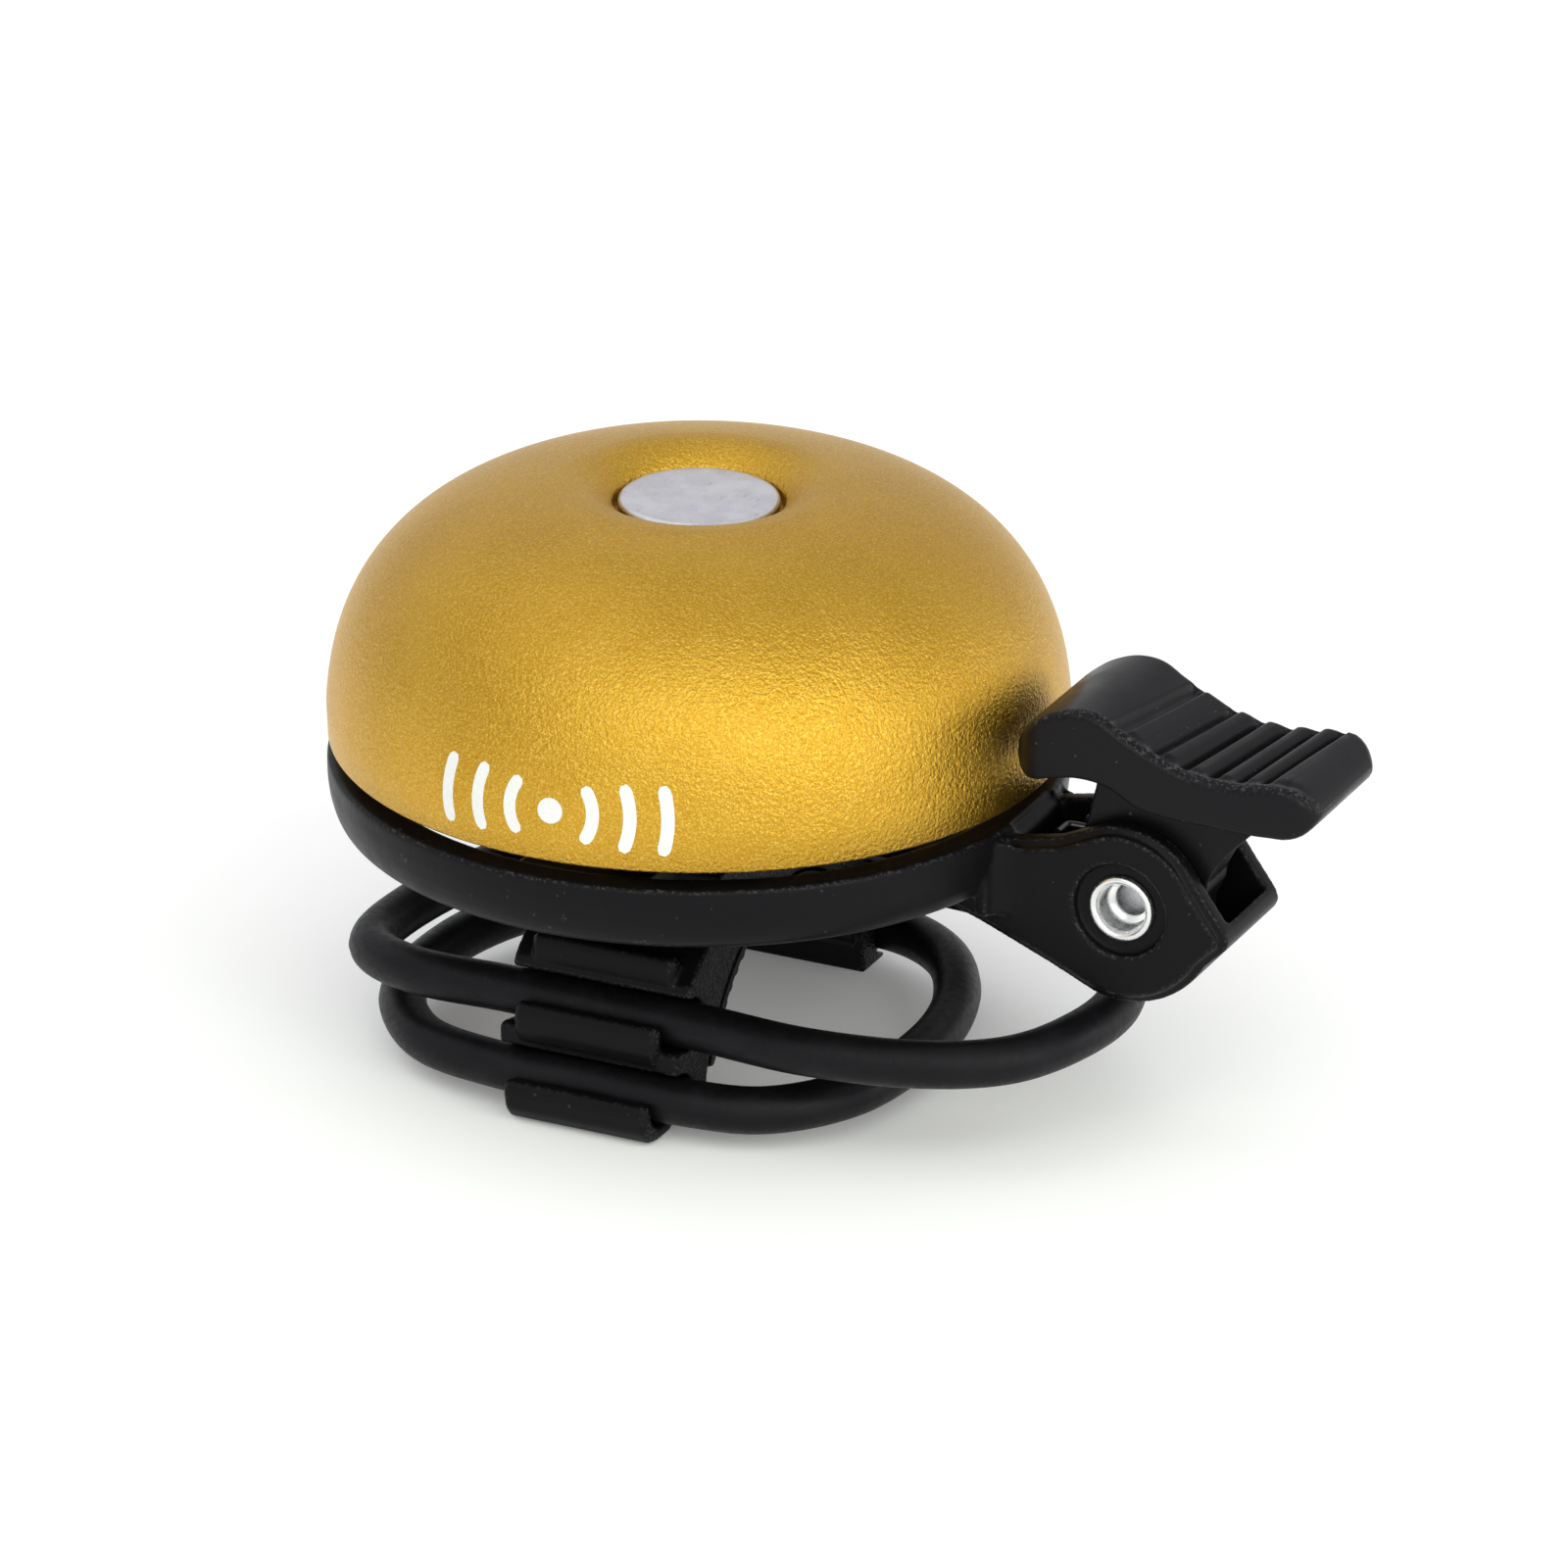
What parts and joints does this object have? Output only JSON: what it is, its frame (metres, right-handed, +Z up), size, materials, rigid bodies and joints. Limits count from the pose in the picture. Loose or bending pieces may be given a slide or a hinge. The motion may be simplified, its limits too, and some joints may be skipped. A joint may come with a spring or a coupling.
{
  "type": "bicycle bell",
  "caption": "Domed bicycle bell on a round base with a sprung thumb lever, held on a handlebar by two rubber rings over a hooked saddle.",
  "frame": {"origin": "middle of the bar seat: the highest strip of the rubber liner, on the dome's axis", "axes": "+X along the handlebar towards the thumb lever, +Z up through the dome, +Y across the bar by the right-hand rule"},
  "size_m": [0.0788, 0.0546, 0.0441],
  "materials": {
    "gold_aluminium": "bead blasted and anodised gold, satin with a fine grain",
    "rivet_zinc": "zinc plated, satin, with faint scratches",
    "fibre": "dull vulcanised fibre",
    "base_plastic": "moulded black nylon, satin, edges scuffed lighter",
    "saddle_plastic": "moulded black nylon with a coarse spark-eroded texture on its ends",
    "liner_rubber": "matt black rubber",
    "ring_rubber": "matt black rubber with a faint bloom and moulding marks",
    "lever_plastic": "moulded black nylon, satin, ridges scuffed at their ends",
    "pin_aluminium": "bare aluminium, rolled over, bright with burrs",
    "spring_steel": "bare spring wire"
  },
  "bodies": {
    "base": {"base_body": "base_plastic", "bell_dome": "gold_aluminium", "dome_rivet": "rivet_zinc", "dome_washer": "fibre", "tail_washer": "rivet_zinc", "bar_saddle": "saddle_plastic", "saddle_pad": "liner_rubber", "pivot_rivet": "pin_aluminium", "torsion_spring": "spring_steel", "o_ring_large": "ring_rubber", "o_ring_small": "ring_rubber"},
    "lever": {"thumb_lever": "lever_plastic"}
  },
  "joints": [
    {"name": "lever_swing", "type": "hinge", "parent": "base", "child": "lever", "pos_m": [0.03615, 0, 0.00645], "axis": [0, 1, 0], "range_deg": [-2, 25], "stiffness_Nm_per_rad": 0.02, "deforming": ["torsion_spring"]}
  ]
}
